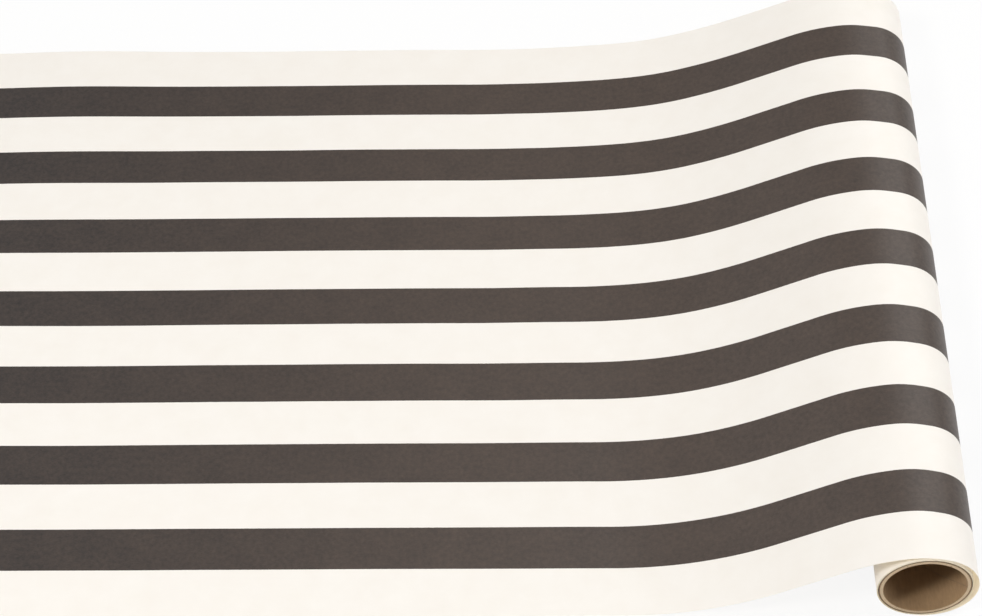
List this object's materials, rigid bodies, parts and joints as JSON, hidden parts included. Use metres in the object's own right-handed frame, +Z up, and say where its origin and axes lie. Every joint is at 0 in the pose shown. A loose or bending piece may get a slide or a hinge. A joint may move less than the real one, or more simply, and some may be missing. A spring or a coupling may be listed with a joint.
{
  "type": "wrapping paper roll",
  "caption": "Partly unrolled roll of striped gift wrap on a spiral-wound paper tube, its free sheet lying flat on the table.",
  "frame": {"origin": "middle of the tube's axis, half way along the paper's width", "axes": "+Z up from the table, +Y along the tube's axis towards its looser end, and the free sheet runs off the top of the roll towards -X"},
  "size_m": [0.7312, 0.508, 0.0598],
  "materials": {
    "tube_board": "matte",
    "tube_kraft": "matte",
    "clear_tape": "satin",
    "printed_paper": "satin"
  },
  "bodies": {
    "sheet": {"running_sheet": "printed_paper"},
    "roll": {"core_liner_ply": "tube_board", "core_board_ply_1": "tube_board", "core_board_ply_2": "tube_board", "core_board_ply_3": "tube_board", "core_board_ply_4": "tube_board", "core_cover_ply": "tube_kraft", "starter_tape": "clear_tape", "wound_web": "printed_paper"}
  },
  "joints": [
    {"name": "roll_spin", "type": "hinge", "parent": "sheet", "child": "roll", "pos_m": [0, 0, 0], "axis": [0, -1, 0], "range_deg": [-1330, 2070]}
  ]
}
